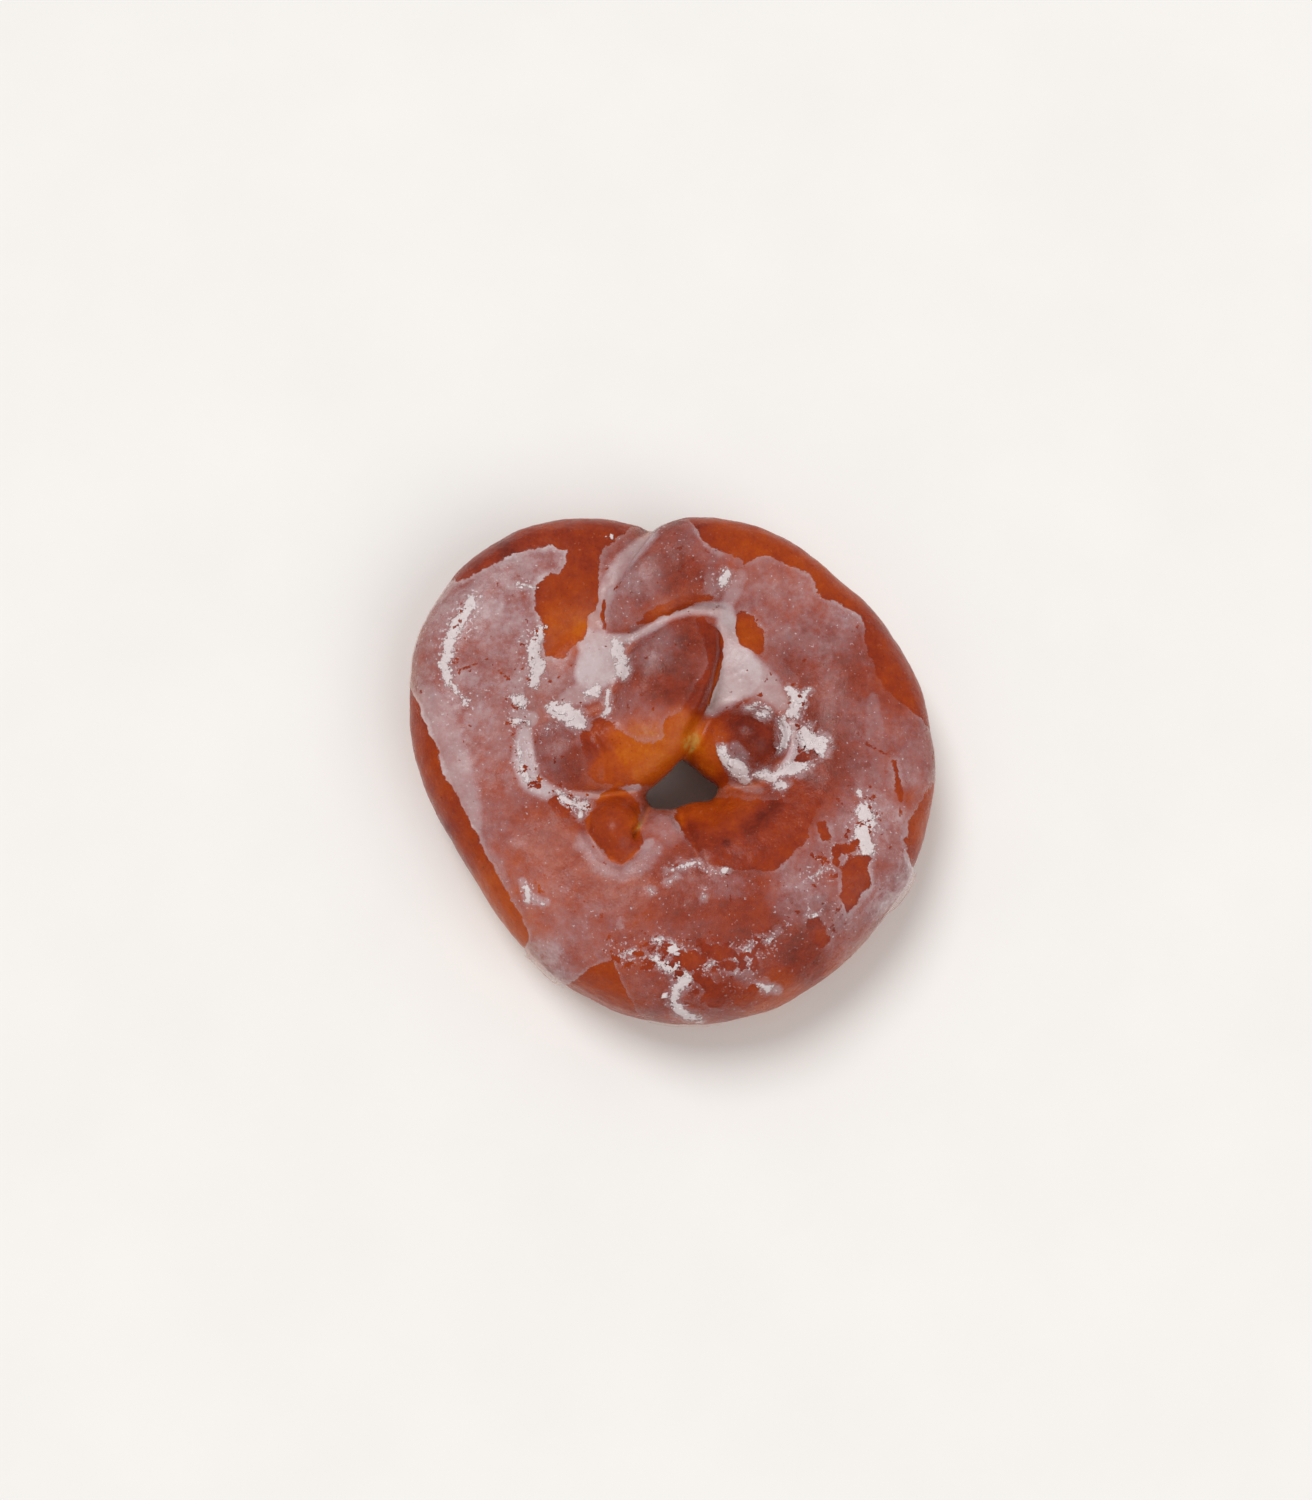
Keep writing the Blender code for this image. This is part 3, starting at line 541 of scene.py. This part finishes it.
def glaze_material(settings):
    """Poured sugar glaze: a milky mauve film where it is thin, white and matt where it is thick."""
    material, tree, shader = new_material("poured_sugar_glaze")
    painted = {name: node(tree, "Attribute", {}, "Fac", attribute_name=name) for name in GLAZE_FIELDS}

    # Its edge wanders and is torn, most where it is thin, and cracks and rubbed chips are open.
    ragged = grain(tree, 2.4, detail=8.0, roughness=0.72)
    tearing = node(tree, "MapRange", {0: painted["milk"], 1: 0.15, 2: 0.50, 3: 4.0, 4: 1.2}, **SMOOTH)
    inside = node(tree, "Math", {0: grain(tree, 8.0, detail=3.0), 1: 5.0, 2: painted["inside"]}, **TIMES_PLUS)
    inside = node(tree, "Math", {0: ragged, 1: tearing, 2: inside}, **TIMES_PLUS)
    there = node(tree, "MapRange", {0: inside, 2: 0.35}, **SMOOTH)
    cracked = node(tree, "Math", {0: ragged, 1: 2.4, 2: painted["cracks"]}, **TIMES_PLUS)
    uncracked = node(tree, "MapRange", {0: cracked, 1: 0.02, 2: 0.22}, **SMOOTH)
    there = node(tree, "Math", {0: there, 1: uncracked}, **TIMES)
    chips = grain(tree, 2.6, detail=4.0, roughness=0.6, shift=3.0)
    chips = node(tree, "Math", {0: painted["scuff"], 1: 0.12, 2: chips}, **TIMES_PLUS)
    unchipped = node(tree, "MapRange", {0: chips, 1: 0.20, 2: 0.17}, **SMOOTH)
    there = node(tree, "Math", {0: there, 1: unchipped}, **TIMES)

    # The film is cloudy and curdled, and a little denser along its edge.
    cloud = grain(tree, 8.0, detail=5.0, roughness=0.56)
    cloud = node(tree, "MapRange", {0: cloud, 1: -0.22, 2: 0.22, 4: 0.78}, **SMOOTH)
    curd = grain(tree, 1.8, detail=6.0, roughness=0.7)
    curd = node(tree, "MapRange", {0: curd, 1: -0.16, 2: 0.18, 4: 0.44}, **SMOOTH)
    uneven = node(tree, "Math", {0: cloud, 1: curd}, **PLUS)
    film = node(tree, "Math", {0: uneven, 1: 0.38}, **PLUS)
    rim = node(tree, "MapRange", {0: inside, 1: 2.4, 2: 0.2, 4: 0.7}, **SMOOTH)
    film = node(tree, "Math", {0: film, 1: rim}, **PLUS)
    film = node(tree, "Math", {0: film, 1: painted["veil"]}, **TIMES)

    # Where it ran together it is milky, and where it dried it is white with a pale halo and loose crumbs.
    milk = node(tree, "Math", {0: uneven, 1: -0.61}, **PLUS)
    milk = node(tree, "Math", {0: milk, 1: 0.24, 2: painted["milk"]}, **TIMES_PLUS)
    milk = node(tree, "MapRange", {0: milk, 1: 0.05, 2: 0.98, 4: 0.94})
    fray = grain(tree, 3.4, detail=8.0, roughness=0.72)
    dry = node(tree, "Math", {0: fray, 1: 8.0, 2: painted["dry"]}, **TIMES_PLUS)
    white = node(tree, "MapRange", {0: dry, 1: -0.10, 2: 0.30}, **SMOOTH)
    dense_white = node(tree, "Math", {0: white, 1: 0.93}, **TIMES)
    halo = node(tree, "MapRange", {0: dry, 1: -2.8, 2: 0.2, 4: 0.45}, **SMOOTH)
    crumbs = node(tree, "MapRange", {0: painted["dry"], 1: -4.0, 2: 0.5, 4: 0.08}, **SMOOTH)
    crumbs = node(tree, "Math", {0: painted["scuff"], 1: 0.08, 2: crumbs}, **TIMES_PLUS)
    crumbs = node(tree, "Math", {0: grain(tree, 0.9, detail=2.0), 1: crumbs}, **PLUS)
    crumbs = node(tree, "MapRange", {0: crumbs, 1: 0.19, 2: 0.23}, **SMOOTH)

    alpha = film
    for layer in (milk, dense_white, halo):
        alpha = node(tree, "Math", {0: alpha, 1: layer}, **GREATER)
    alpha = node(tree, "Math", {0: crumbs, 1: 0.50, 2: alpha}, use_clamp=True, **TIMES_PLUS)
    alpha = node(tree, "Math", {0: alpha, 1: there}, **TIMES)

    # Low on the sides the browned dough shines through it.
    colour = node(tree, "ValToRGB", {0: alpha})
    set_stops(colour, (0.0, "b27b66"), (0.2, settings.film_colour), (0.45, "c0a6aa"), (0.8, "c6b3b6"),
              (1.0, settings.pool_colour))
    height = node(tree, "SeparateXYZ", {0: node(tree, "TexCoord", {}, "Object")}, "Z")
    low = node(tree, "MapRange", {0: height, 1: 33.0 * MM, 2: 14.0 * MM, 4: 0.85}, **SMOOTH)
    colour = node(tree, "Mix", {0: low, 6: colour, 7: linear("d29c7a")}, 2, **COLOURS)
    colour = node(tree, "Mix", {0: white, 6: colour, 7: settings.dry_colour}, 2, **COLOURS)

    matt = node(tree, "MapRange", {0: alpha, 1: 0.5, 2: 1.0, 3: 0.24, 4: 0.30}, **SMOOTH)
    matt = node(tree, "Math", {0: white, 1: 0.34, 2: matt}, **TIMES_PLUS)
    skin = node(tree, "Math", {0: grain(tree, 0.9), 1: 0.6, 2: white}, **TIMES_PLUS)
    skin = node(tree, "Math", {0: skin, 1: there}, **PLUS)
    normal = node(tree, "Bump", {"Strength": 0.6, "Distance": 0.35 * MM, "Height": skin})
    look = {"Base Color": colour, "Alpha": alpha, "Roughness": matt, "Normal": normal, "IOR": 1.40}
    fill_inputs(tree, shader, look)
    return material


def flake_material():
    """Dried sugar glaze that has flaked: chalky white."""
    material, tree, shader = new_material("dried_sugar_flake")
    chalk = node(tree, "MapRange", {0: grain(tree, 1.2), 1: -0.2, 2: 0.2})
    colour = node(tree, "Mix", {0: chalk, 6: linear("cbb9bd"), 7: linear("ece4e4")}, 2, **COLOURS)
    normal = node(tree, "Bump", {"Strength": 0.4, "Distance": 0.1 * MM, "Height": grain(tree, 0.4)})
    fill_inputs(tree, shader, {"Base Color": colour, "Normal": normal, "Roughness": 0.62, "IOR": 1.48})
    return material


def floor_material():
    """Matt pale paper."""
    material, tree, shader = new_material("pale_studio_paper")
    cloudy = node(tree, "MapRange", {0: grain(tree, 60.0), 1: -0.2, 2: 0.2})
    colour = node(tree, "Mix", {0: cloudy, 6: linear("efeeec"), 7: linear("f2f1ef")}, 2, **COLOURS)
    fill_inputs(tree, shader, {"Base Color": colour, "Roughness": 0.9, "IOR": 1.3})
    return material


def deselect_all():
    for obj in bpy.context.view_layer.objects:
        obj.select_set(False)


def make_active(obj):
    deselect_all()
    obj.select_set(True)
    bpy.context.view_layer.objects.active = obj


def apply_modifiers(obj):
    make_active(obj)
    for modifier in list(obj.modifiers):
        bpy.ops.object.modifier_apply(modifier=modifier.name)


def read_rows(source, name):
    """Three numbers of each of the source's items, as rows."""
    numbers = np.empty(len(source) * 3, np.float32)
    source.foreach_get(name, numbers)
    return numbers.reshape(-1, 3).astype(np.float64)


def read_points(mesh):
    return read_rows(mesh.vertices, "co")


def read_normals(mesh):
    return read_rows(mesh.vertex_normals, "vector")


def write_points(mesh, points):
    mesh.vertices.foreach_set("co", points.astype(np.float32).ravel())
    mesh.update()


def write_field(mesh, name, values):
    attribute = mesh.attributes.new(name, "FLOAT", "POINT")
    attribute.data.foreach_set("value", values.astype(np.float32))


def smoothstep(low, high, values):
    share = np.clip((values - low) / (high - low), 0.0, 1.0)
    return share * share * (3.0 - 2.0 * share)


def on_sheet(points):
    """Where points of the dough show on the drawing sheet, in mm."""
    camera = np.array(CAMERA_PLACE)
    share = (SHEET_ORIGIN.z - camera[2]) / (points[:, 2] - camera[2])
    seen = camera[:2] + (points[:, :2] - camera[:2]) * share[:, None]
    return (seen - np.array(SHEET_ORIGIN)[:2]) / MM


def run_distance(places, run):
    """Distance in mm from the edge of a run of (x, y, half width), below nought inside it."""
    nearest = np.full(len(places), np.inf)
    for (ax, ay, a_width), (bx, by, b_width) in zip(run, run[1:]):
        along = np.array((bx - ax, by - ay))
        share = np.clip((places - (ax, ay)) @ along / (along @ along), 0.0, 1.0)
        centre = np.array((ax, ay)) + share[:, None] * along
        distance = np.hypot(*(places - centre).T) - (a_width + share * (b_width - a_width))
        nearest = np.minimum(nearest, distance)
    return nearest


def run_share(places, run, fade):
    """1 inside a run, and falling softly to 0 at the fade's distance in mm from it."""
    return smoothstep(fade, -RUN_EDGE_MM, run_distance(places, run))


def blended(places, spots, elsewhere):
    """A value that passes smoothly from each spot's (x, y, reach, value) to the next and to elsewhere's."""
    weights = np.full(len(places), ELSEWHERE_WEIGHT)
    total = weights * elsewhere
    for x, y, reach, value in spots:
        weight = np.exp(-((places[:, 0] - x) ** 2 + (places[:, 1] - y) ** 2) / reach ** 2)
        weights += weight
        total += weight * value
    return total / weights


class Outline:
    """The dough's outline as the camera sees it, by direction from the sheet's origin."""

    def __init__(self, points):
        places = on_sheet(points)
        reach = np.hypot(*places.T)
        order = np.argsort(reach)
        step = self.step(places)[order]
        self.reach = np.zeros(OUTLINE_STEPS)
        self.height = np.zeros(OUTLINE_STEPS)
        self.reach[step] = reach[order]
        self.height[step] = points[order, 2] / MM
        self.reach = self.evened(self.reach)
        self.height = self.evened(self.height)

    @staticmethod
    def step(places):
        angle = np.arctan2(places[:, 1], places[:, 0])
        return ((angle / math.tau + 0.5) * OUTLINE_STEPS).astype(int) % OUTLINE_STEPS

    @staticmethod
    def evened(values, half=3):
        total = sum(np.roll(values, shift) for shift in range(-half, half + 1))
        return total / (2 * half + 1)

    def inset(self, points, normals):
        """How far each point lies inside the outline in mm, and below nought how far round under it."""
        places = on_sheet(points)
        step = self.step(places)
        to_camera = np.array(CAMERA_PLACE) - points
        faces_camera = np.einsum("ij,ij->i", normals, to_camera) > 0.0
        seen = self.reach[step] - np.hypot(*places.T)
        hidden = np.minimum(points[:, 2] / MM - self.height[step], 0.0) - JUST_OUTSIDE_MM
        near_outline = seen < HIDDEN_BAND_MM
        return np.where(faces_camera, seen, np.where(near_outline, hidden, NOWHERE_NEAR_MM))


def glaze_reach(places, inset):
    """How far inside the glaze's edge each place lies, in mm, and how milky its bank along the edge is."""
    degrees = np.degrees(np.arctan2(places[:, 1], places[:, 0]))
    directions, rims, banks = zip(*GLAZE_RIM)
    inside = inset - np.interp(degrees, directions, rims)
    bank = np.interp(degrees, directions, banks) * smoothstep(*RIM_BANK_MM, inside)
    for run in BARE_PLACES.values():
        inside = np.minimum(inside, run_distance(places, run))
    return inside, bank


def strongest(places, runs, least):
    """The greatest of the least values and of each run's strength, which fades around it."""
    for strength, fade, run in runs.values():
        least = np.maximum(least, strength * run_share(places, run, fade))
    return least


def dryness(places):
    """How far inside the dried white glaze each place lies, in mm, and below nought how far outside."""
    dry = np.full(len(places), NOWHERE_NEAR_MM)
    for share, run in DRY_PLACES.values():
        dry = np.maximum(dry, -run_distance(places, run) - DRY_MARGIN_MM * (1.0 - share))
    return dry


def hollowness(obj):
    """How deep each point lies in a fold, in mm: how far a slackened copy of the skin stands over it."""
    slack = obj.modifiers.new("Slack", "SMOOTH")
    slack.factor = SMOOTHING_FACTOR
    slack.iterations = SLACK_ROUNDS
    graph = bpy.context.evaluated_depsgraph_get()
    slack_mesh = obj.evaluated_get(graph).to_mesh()
    rise = read_points(slack_mesh) - read_points(obj.data)
    obj.evaluated_get(graph).to_mesh_clear()
    obj.modifiers.remove(slack)
    return np.einsum("ij,ij->i", rise, read_normals(obj.data)) / MM


def press_folds(mesh):
    """Presses the folds, creases and pits into the upper side of a dough surface."""
    points = read_points(mesh)
    normals = read_normals(mesh)
    places = on_sheet(points)
    depth = np.zeros(len(points))
    for fold_depth, half_width, run in FOLDS.values():
        distance = run_distance(places, [(x, y, 0.0) for x, y in run])
        depth += fold_depth * np.exp(-((distance / half_width) ** 2))
    for x, y, radius, pit_depth in PITS:
        distance = np.hypot(places[:, 0] - x, places[:, 1] - y)
        depth += pit_depth * np.exp(-((distance / radius) ** 4))
    upward = smoothstep(*UPRIGHT_SLOPES, normals[:, 2])
    write_points(mesh, points - normals * (depth * upward * MM)[:, None])


def roughen(obj, name, size_mm, height, depth):
    """Adds uneven relief of this feature size and height."""
    texture = bpy.data.textures.new(name, "CLOUDS")
    texture.noise_scale = size_mm * MM
    texture.noise_depth = depth
    relief = obj.modifiers.new(name, "DISPLACE")
    relief.texture = texture
    relief.texture_coords = "LOCAL"
    relief.strength = height
    relief.mid_level = 0.5


def dough_surface(name, net, dough):
    """A copy of the solid's own surface with a finer net, its facets smoothed out, folded and wrinkled."""
    obj = bpy.data.objects.new(name, frame["nodes"]["pretzel"].data.copy())
    bpy.context.scene.collection.objects.link(obj)
    obj.data.materials.clear()
    make_active(obj)
    bpy.ops.object.mode_set(mode="EDIT")
    bpy.ops.mesh.select_all(action="SELECT")
    bpy.ops.mesh.remove_doubles(threshold=WELD_MM * MM)
    bpy.ops.object.mode_set(mode="OBJECT")
    finer = obj.modifiers.new("Net", "REMESH")
    finer.mode = "VOXEL"
    finer.voxel_size = net
    smooth = obj.modifiers.new("Smooth", "SMOOTH")
    smooth.factor = SMOOTHING_FACTOR
    smooth.iterations = dough.smoothing
    apply_modifiers(obj)
    press_folds(obj.data)
    roughen(obj, name + "_wrinkles", WRINKLE_MM, dough.wrinkle, 3)
    roughen(obj, name + "_dimples", DIMPLE_MM, DIMPLE_HEIGHT_MM * MM, 2)
    apply_modifiers(obj)
    return obj


def cut_away(obj, points_out):
    """Deletes the points that are marked out, with their faces."""
    mesh = obj.data
    mesh.polygons.foreach_set("select", np.zeros(len(mesh.polygons), bool))
    mesh.edges.foreach_set("select", np.zeros(len(mesh.edges), bool))
    mesh.vertices.foreach_set("select", points_out)
    make_active(obj)
    bpy.ops.object.mode_set(mode="EDIT")
    bpy.ops.mesh.select_mode(type="VERT")
    bpy.ops.mesh.delete(type="VERT")
    bpy.ops.object.mode_set(mode="OBJECT")


def weigh_points(obj, name, weights):
    """A vertex group that holds a weight for each point, and its name."""
    group = obj.vertex_groups.new(name=name)
    steps = np.clip(np.rint(weights * WEIGHT_STEPS), 1, WEIGHT_STEPS).astype(int)
    for step in np.unique(steps):
        group.add(np.nonzero(steps == step)[0].tolist(), int(step) / WEIGHT_STEPS, "REPLACE")
    return group.name


def finish_piece(obj, material):
    obj.data.materials.clear()
    obj.data.materials.append(material)
    obj.data.shade_smooth()
    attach(obj, "root")


def length_property(name, description, length_mm):
    return bpy.props.FloatProperty(
        name=name, description=description, default=length_mm * MM, unit="LENGTH")


def colour_property(name, description, hex_colour):
    return bpy.props.FloatVectorProperty(
        name=name, description=description, default=linear(hex_colour), subtype="COLOR", size=4,
        min=0.0, max=1.0)


class PretzelDoughSettings(bpy.types.PropertyGroup):
    """The crust's sizes and colours."""

    net: length_property("Crust net", "Width of the crust's small faces", 0.84)
    smoothing: bpy.props.IntProperty(
        name="Smoothing", description="Rounds of smoothing that take out the solid's facets", default=12)
    wrinkle: length_property("Wrinkle height", "Height of the crust's fine wrinkles", 0.22)
    fold_colour: colour_property("Fold colour", "Dough that the heat hardly reached", "c08c40")
    golden_colour: colour_property("Golden colour", "Crust baked golden", "b04c10")
    crown_colour: colour_property("Crown colour", "Crust baked darkest", "641e11")


class PretzelGlazeSettings(bpy.types.PropertyGroup):
    """The glaze's sizes, share and colours, and its flakes."""

    net: length_property("Glaze net", "Width of the glaze's small faces", 0.80)
    film: length_property("Film", "Thickness of the thinnest glaze", 0.15)
    pooling: bpy.props.FloatProperty(
        name="Pooling", description="Share of a hollow that the glaze fills", default=0.45, subtype="FACTOR")
    film_colour: colour_property("Film colour", "Glaze where it is thin", "b89496")
    pool_colour: colour_property("Pool colour", "Glaze where it ran together", "c9babd")
    dry_colour: colour_property("Dry colour", "Glaze that dried and crumbled", "dacfd0")
    flakes: bpy.props.IntProperty(name="Flakes", description="Loose sugar flakes", default=420)
    seed: bpy.props.IntProperty(name="Seed", description="Draw of the flakes", default=7)


class PRETZEL_OT_crust(bpy.types.Operator):
    """Bakes the crust on the pretzel's solid."""

    bl_idname = "pretzel.crust"
    bl_label = "Bake the crust"

    def execute(self, context):
        dough = context.scene.pretzel_dough
        crust = dough_surface("crust", dough.net, dough)
        points = read_points(crust.data)
        points[:, 2] = np.maximum(points[:, 2], 0.0)
        write_points(crust.data, points)
        brown = blended(on_sheet(points), BAKE_PLACES, BAKE_ELSEWHERE)
        brown -= PALER_IN_FOLDS * smoothstep(*FOLD_DEPTHS_MM, hollowness(crust))
        brown -= PALER_LOW * smoothstep(*PALE_HEIGHTS_MM, points[:, 2] / MM)
        write_field(crust.data, "bake", np.clip(brown, 0.0, 1.0))
        finish_piece(crust, crust_material(dough))
        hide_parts("pretzel")
        return {"FINISHED"}


class PRETZEL_OT_glaze(bpy.types.Operator):
    """Pours the sugar glaze over the crust."""

    bl_idname = "pretzel.glaze"
    bl_label = "Pour the glaze"

    def execute(self, context):
        settings = context.scene.pretzel_glaze
        glaze = dough_surface("glaze", settings.net, context.scene.pretzel_dough)
        mesh = glaze.data
        points = read_points(mesh)
        normals = read_normals(mesh)
        places = on_sheet(points)
        hollow = hollowness(glaze)
        inside, bank = glaze_reach(places, Outline(points).inset(points, normals))
        dry = dryness(places)
        in_hollows = MILK_IN_HOLLOWS * smoothstep(*HOLLOW_DEPTHS_MM, hollow)
        milk = strongest(places, MILKY_PLACES, np.maximum(in_hollows, bank))
        veil = blended(places, VEIL_PLACES, VEIL_ELSEWHERE)
        cracks = np.min([run_distance(places, run) for run in CRACKS.values()], axis=0)
        scuff = strongest(places, SCUFFED_PLACES, np.zeros(len(places)))
        for name, values in zip(GLAZE_FIELDS, (inside, dry, milk, veil, cracks, scuff)):
            write_field(mesh, name, values)
        thick = settings.film / MM + VEIL_MM * veil + MILK_MM * milk + DRY_MM * smoothstep(*DRY_RISE_MM, dry)
        for extra, fade, run in THICK_PLACES.values():
            thick += extra * smoothstep(fade, -THICK_EDGE_MM, run_distance(places, run))
        pool = settings.pooling * np.clip(hollow, 0.0, DEEPEST_POOL_MM)
        thick += pool * smoothstep(*POOL_RISE_MM, inside)
        edge = smoothstep(*EDGE_RISE_MM, inside - CUT_MARGIN_MM)
        lift = (thick + EDGE_DIVE_MM) * edge - EDGE_DIVE_MM
        write_points(mesh, points + normals * (lift * MM)[:, None])
        cut_away(glaze, inside < CUT_MARGIN_MM)
        deep_share = (lift[inside >= CUT_MARGIN_MM] + SOAK_MM) / THICKEST_MM
        shell = glaze.modifiers.new("Shell", "SOLIDIFY")
        shell.thickness = THICKEST_MM * MM
        shell.offset = -1.0
        shell.vertex_group = weigh_points(glaze, "film_depth", deep_share)
        apply_modifiers(glaze)
        finish_piece(glaze, glaze_material(settings))
        glaze.visible_shadow = False
        return {"FINISHED"}


def flake_kind(draw, name, sides):
    """One uneven scrap of dried glaze, about a unit wide and lying flat."""
    deselect_all()
    bpy.ops.mesh.primitive_cone_add(
        vertices=sides, radius1=1.0, radius2=0.8, depth=0.7, end_fill_type="TRIFAN")
    kind = bpy.context.object
    kind.name = name
    points = read_points(kind.data)
    points += [[draw.uniform(-FLAKE_UNEVENNESS, FLAKE_UNEVENNESS) for _ in range(3)] for _ in points]
    write_points(kind.data, points)
    return kind


def lay_flake(kind, draw, place, normal, half_width_mm):
    """A copy of a flake, turned as the surface lies, a little sunk in it."""
    flake = bpy.data.objects.new("flake", kind.data.copy())
    bpy.context.scene.collection.objects.link(flake)
    turn = Vector(normal).to_track_quat("Z", "Y").to_matrix().to_4x4()
    spin = Matrix.Rotation(draw.uniform(0.0, math.tau), 4, "Z")
    tilt = Matrix.Rotation(draw.uniform(-FLAKE_TILT, FLAKE_TILT), 4, "X")
    size = half_width_mm * MM
    height = min(size, HIGHEST_FLAKE_MM * MM)
    stretch = Matrix.Diagonal((size, size * draw.uniform(*FLAKE_STRETCH), height, 1.0))
    flake.data.transform(Matrix.Translation(Vector(place)) @ turn @ spin @ tilt @ stretch)
    return flake


class PRETZEL_OT_flakes(bpy.types.Operator):
    """Lays dry sugar flakes on the glaze."""

    bl_idname = "pretzel.flakes"
    bl_label = "Lay the sugar flakes"

    def execute(self, context):
        settings = context.scene.pretzel_glaze
        draw = random.Random(settings.seed)
        glaze = bpy.data.objects["glaze"]
        points = read_points(glaze.data)
        normals = read_normals(glaze.data)
        depth = np.empty(len(points), np.float32)
        glaze.data.attributes["dry"].data.foreach_get("value", depth)
        places = on_sheet(points)
        kinds = [flake_kind(draw, f"flake_{sides}", sides) for sides in FLAKE_SIDES]
        dry = np.nonzero((depth > DRY_ENOUGH_MM) & (normals[:, 2] > LEVEL_ENOUGH))[0]
        flakes = []
        for _ in range(settings.flakes):
            spot = dry[draw.randrange(len(dry))]
            kind = draw.choice(kinds)
            half_width = draw.uniform(*FLAKE_WIDTHS_MM)
            flakes.append(lay_flake(kind, draw, points[spot], normals[spot], half_width))
        for x, y, half_width in LARGE_FLAKES:
            away = np.hypot(places[:, 0] - x, places[:, 1] - y)
            spot = int(np.argmin(away + UNDERSIDE_COUNTS_MM * (normals[:, 2] <= UPPER_SIDE)))
            flakes.append(lay_flake(draw.choice(kinds[:2]), draw, points[spot], normals[spot], half_width))
        for kind in kinds:
            bpy.data.objects.remove(kind)
        deselect_all()
        for flake in flakes:
            flake.select_set(True)
        context.view_layer.objects.active = flakes[0]
        bpy.ops.object.join()
        flakes[0].name = "sugar_flakes"
        finish_piece(flakes[0], flake_material())
        return {"FINISHED"}


class PRETZEL_OT_stage(bpy.types.Operator):
    """Sets the pale floor, the soft lights and the camera."""

    bl_idname = "pretzel.stage"
    bl_label = "Set the stage"

    def execute(self, context):
        deselect_all()
        bpy.ops.mesh.primitive_plane_add(size=FLOOR_SIZE, location=(0.0, 0.0, -FLOOR_DROP))
        floor = context.object
        floor.name = "floor"
        floor.data.materials.append(floor_material())
        # Large soft lights, far enough off to light the floor evenly. Each shines from its place inwards.
        for name, (place, spread_degrees, strength) in LIGHTS.items():
            lamp = bpy.data.lights.new(name, "SUN")
            lamp.angle = math.radians(spread_degrees)
            lamp.energy = strength
            light = bpy.data.objects.new(name, lamp)
            light.location = place
            light.rotation_euler = Vector(place).to_track_quat("Z", "Y").to_euler()
            context.scene.collection.objects.link(light)
        world = bpy.data.worlds.new("pale_room")
        world.use_nodes = True
        sky = {"Color": linear(SKY_COLOUR), "Strength": SKY_STRENGTH}
        fill_inputs(world.node_tree, world.node_tree.nodes["Background"], sky)
        context.scene.world = world
        context.scene.view_settings.view_transform = "Standard"
        lens = bpy.data.cameras.new("camera")
        lens.lens = LENS_MM
        lens.sensor_width = SENSOR_MM
        camera = bpy.data.objects.new("camera", lens)
        turn = Matrix((CAMERA_RIGHT, CAMERA_UP, CAMERA_BACK)).transposed().to_4x4()
        camera.matrix_world = Matrix.Translation(CAMERA_PLACE) @ turn
        context.scene.collection.objects.link(camera)
        context.scene.camera = camera
        return {"FINISHED"}


class PRETZEL_PT_panel(bpy.types.Panel):
    """The pretzel's steps, in order."""

    bl_idname = "PRETZEL_PT_panel"
    bl_label = "Brioche Pretzel"
    bl_space_type = "VIEW_3D"
    bl_region_type = "UI"
    bl_category = "Pretzel"

    def draw(self, context):
        for settings in (context.scene.pretzel_dough, context.scene.pretzel_glaze):
            for name in settings.__annotations__:
                self.layout.prop(settings, name)
        for step in STEPS:
            self.layout.operator(step.bl_idname)


STEPS = (PRETZEL_OT_crust, PRETZEL_OT_glaze, PRETZEL_OT_flakes, PRETZEL_OT_stage)
CLASSES = (PretzelDoughSettings, PretzelGlazeSettings) + STEPS + (PRETZEL_PT_panel,)


def register():
    for cls in CLASSES:
        bpy.utils.register_class(cls)
    bpy.types.Scene.pretzel_dough = bpy.props.PointerProperty(type=PretzelDoughSettings)
    bpy.types.Scene.pretzel_glaze = bpy.props.PointerProperty(type=PretzelGlazeSettings)


def unregister():
    del bpy.types.Scene.pretzel_glaze
    del bpy.types.Scene.pretzel_dough
    for cls in reversed(CLASSES):
        bpy.utils.unregister_class(cls)


def main():
    register()
    bpy.ops.pretzel.crust()
    bpy.ops.pretzel.glaze()
    bpy.ops.pretzel.flakes()
    bpy.ops.pretzel.stage()


if __name__ == "__main__":
    main()
